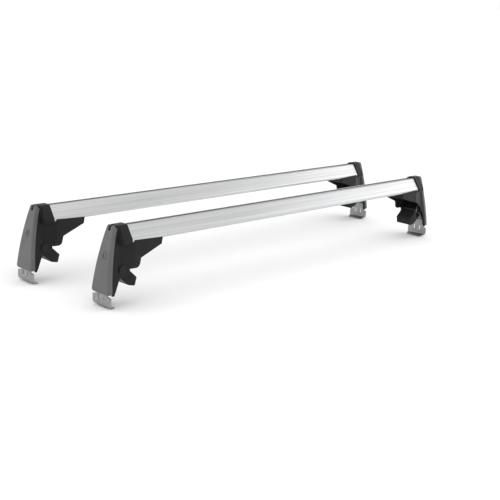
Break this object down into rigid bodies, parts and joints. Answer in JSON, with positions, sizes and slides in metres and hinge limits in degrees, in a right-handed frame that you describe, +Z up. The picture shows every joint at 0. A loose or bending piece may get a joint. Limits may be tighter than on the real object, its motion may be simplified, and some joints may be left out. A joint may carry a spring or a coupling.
{
  "type": "roof rack",
  "caption": "Car roof rack: parallel aluminium T-slot crossbars on black clamp feet with hinged locking end covers, draw-bolt hooks and rubber roof pads.",
  "frame": {"origin": "centre of the bounding box at the level of the hooks' undersides", "axes": "+X along the bars to the right, +Y from the front bar to the rear bar, +Z up"},
  "size_m": [1.0558, 0.263, 0.1533],
  "materials": {
    "bar_aluminium": "clear anodised, satin",
    "black_plastic": "fine grain",
    "black_rubber": "matt",
    "grey_plastic": "satin",
    "lock_metal": "plated",
    "hook_steel": "dark powder coat",
    "bolt_steel": "zinc plated"
  },
  "bodies": {
    "rack": {"bar_front": "bar_aluminium", "bar_rear": "bar_aluminium", "tower_front_left": "black_plastic", "carrier_front_left": "black_plastic", "boot_front_left": "black_rubber", "tower_front_right": "black_plastic", "carrier_front_right": "black_plastic", "boot_front_right": "black_rubber", "tower_rear_left": "black_plastic", "carrier_rear_left": "black_plastic", "boot_rear_left": "black_rubber", "tower_rear_right": "black_plastic", "carrier_rear_right": "black_plastic", "boot_rear_right": "black_rubber", "hinge_pins": "bolt_steel", "barrel_nuts": "bolt_steel", "carrier_screws": "bolt_steel", "bar_screws": "bolt_steel"},
    "cover_front_left": {"cover_front_left": "grey_plastic"},
    "lock_front_left": {"lock_front_left": "lock_metal", "lock_cam_front_left": "lock_metal"},
    "clamp_front_left": {"clamp_plate_front_left": "hook_steel", "washer_front_left": "bolt_steel"},
    "bolt_front_left": {"clamp_bolt_front_left": "bolt_steel"},
    "cover_front_right": {"cover_front_right": "grey_plastic"},
    "lock_front_right": {"lock_front_right": "lock_metal", "lock_cam_front_right": "lock_metal"},
    "clamp_front_right": {"clamp_plate_front_right": "hook_steel", "washer_front_right": "bolt_steel"},
    "bolt_front_right": {"clamp_bolt_front_right": "bolt_steel"},
    "cover_rear_left": {"cover_rear_left": "grey_plastic"},
    "lock_rear_left": {"lock_rear_left": "lock_metal", "lock_cam_rear_left": "lock_metal"},
    "clamp_rear_left": {"clamp_plate_rear_left": "hook_steel", "washer_rear_left": "bolt_steel"},
    "bolt_rear_left": {"clamp_bolt_rear_left": "bolt_steel"},
    "cover_rear_right": {"cover_rear_right": "grey_plastic"},
    "lock_rear_right": {"lock_rear_right": "lock_metal", "lock_cam_rear_right": "lock_metal"},
    "clamp_rear_right": {"clamp_plate_rear_right": "hook_steel", "washer_rear_right": "bolt_steel"},
    "bolt_rear_right": {"clamp_bolt_rear_right": "bolt_steel"}
  },
  "joints": [
    {"name": "cover_hinge_front_left", "type": "hinge", "parent": "rack", "child": "cover_front_left", "pos_m": [-0.478, -0.105, 0.14885], "axis": [0, 1, 0], "range_deg": [0, 95]},
    {"name": "lock_turn_front_left", "type": "hinge", "parent": "cover_front_left", "child": "lock_front_left", "pos_m": [-0.49483, -0.105, 0.099], "axis": [-0.9822, 0, 0.1876], "range_deg": [0, 90]},
    {"name": "clamp_slide_front_left", "type": "slide", "parent": "rack", "child": "clamp_front_left", "axis": [1, 0, 0], "range_m": [0, 0.008]},
    {"name": "bolt_turn_front_left", "type": "hinge", "parent": "clamp_front_left", "child": "bolt_front_left", "pos_m": [-0.4868, -0.105, 0.071], "axis": [1, 0, 0], "range_deg": [0, 2305]},
    {"name": "cover_hinge_front_right", "type": "hinge", "parent": "rack", "child": "cover_front_right", "pos_m": [0.478, -0.105, 0.14885], "axis": [0, -1, 0], "range_deg": [0, 95]},
    {"name": "lock_turn_front_right", "type": "hinge", "parent": "cover_front_right", "child": "lock_front_right", "pos_m": [0.49483, -0.105, 0.099], "axis": [0.9822, 0, 0.1876], "range_deg": [0, 90]},
    {"name": "clamp_slide_front_right", "type": "slide", "parent": "rack", "child": "clamp_front_right", "axis": [-1, 0, 0], "range_m": [0, 0.008]},
    {"name": "bolt_turn_front_right", "type": "hinge", "parent": "clamp_front_right", "child": "bolt_front_right", "pos_m": [0.4868, -0.105, 0.071], "axis": [-1, 0, 0], "range_deg": [0, 2305]},
    {"name": "cover_hinge_rear_left", "type": "hinge", "parent": "rack", "child": "cover_rear_left", "pos_m": [-0.503, 0.105, 0.14885], "axis": [0, 1, 0], "range_deg": [0, 95]},
    {"name": "lock_turn_rear_left", "type": "hinge", "parent": "cover_rear_left", "child": "lock_rear_left", "pos_m": [-0.51982, 0.105, 0.099], "axis": [-0.9822, 0, 0.1876], "range_deg": [0, 90]},
    {"name": "clamp_slide_rear_left", "type": "slide", "parent": "rack", "child": "clamp_rear_left", "axis": [1, 0, 0], "range_m": [0, 0.008]},
    {"name": "bolt_turn_rear_left", "type": "hinge", "parent": "clamp_rear_left", "child": "bolt_rear_left", "pos_m": [-0.5118, 0.105, 0.071], "axis": [1, 0, 0], "range_deg": [0, 2305]},
    {"name": "cover_hinge_rear_right", "type": "hinge", "parent": "rack", "child": "cover_rear_right", "pos_m": [0.503, 0.105, 0.14885], "axis": [0, -1, 0], "range_deg": [0, 95]},
    {"name": "lock_turn_rear_right", "type": "hinge", "parent": "cover_rear_right", "child": "lock_rear_right", "pos_m": [0.51982, 0.105, 0.099], "axis": [0.9822, 0, 0.1876], "range_deg": [0, 90]},
    {"name": "clamp_slide_rear_right", "type": "slide", "parent": "rack", "child": "clamp_rear_right", "axis": [-1, 0, 0], "range_m": [0, 0.008]},
    {"name": "bolt_turn_rear_right", "type": "hinge", "parent": "clamp_rear_right", "child": "bolt_rear_right", "pos_m": [0.5118, 0.105, 0.071], "axis": [-1, 0, 0], "range_deg": [0, 2305]}
  ],
  "couplings": [
    {"joint": "bolt_turn_front_left", "follows": "clamp_slide_front_left", "rad_per_m": 5026.5},
    {"joint": "bolt_turn_front_right", "follows": "clamp_slide_front_right", "rad_per_m": 5026.5},
    {"joint": "bolt_turn_rear_left", "follows": "clamp_slide_rear_left", "rad_per_m": 5026.5},
    {"joint": "bolt_turn_rear_right", "follows": "clamp_slide_rear_right", "rad_per_m": 5026.5}
  ]
}
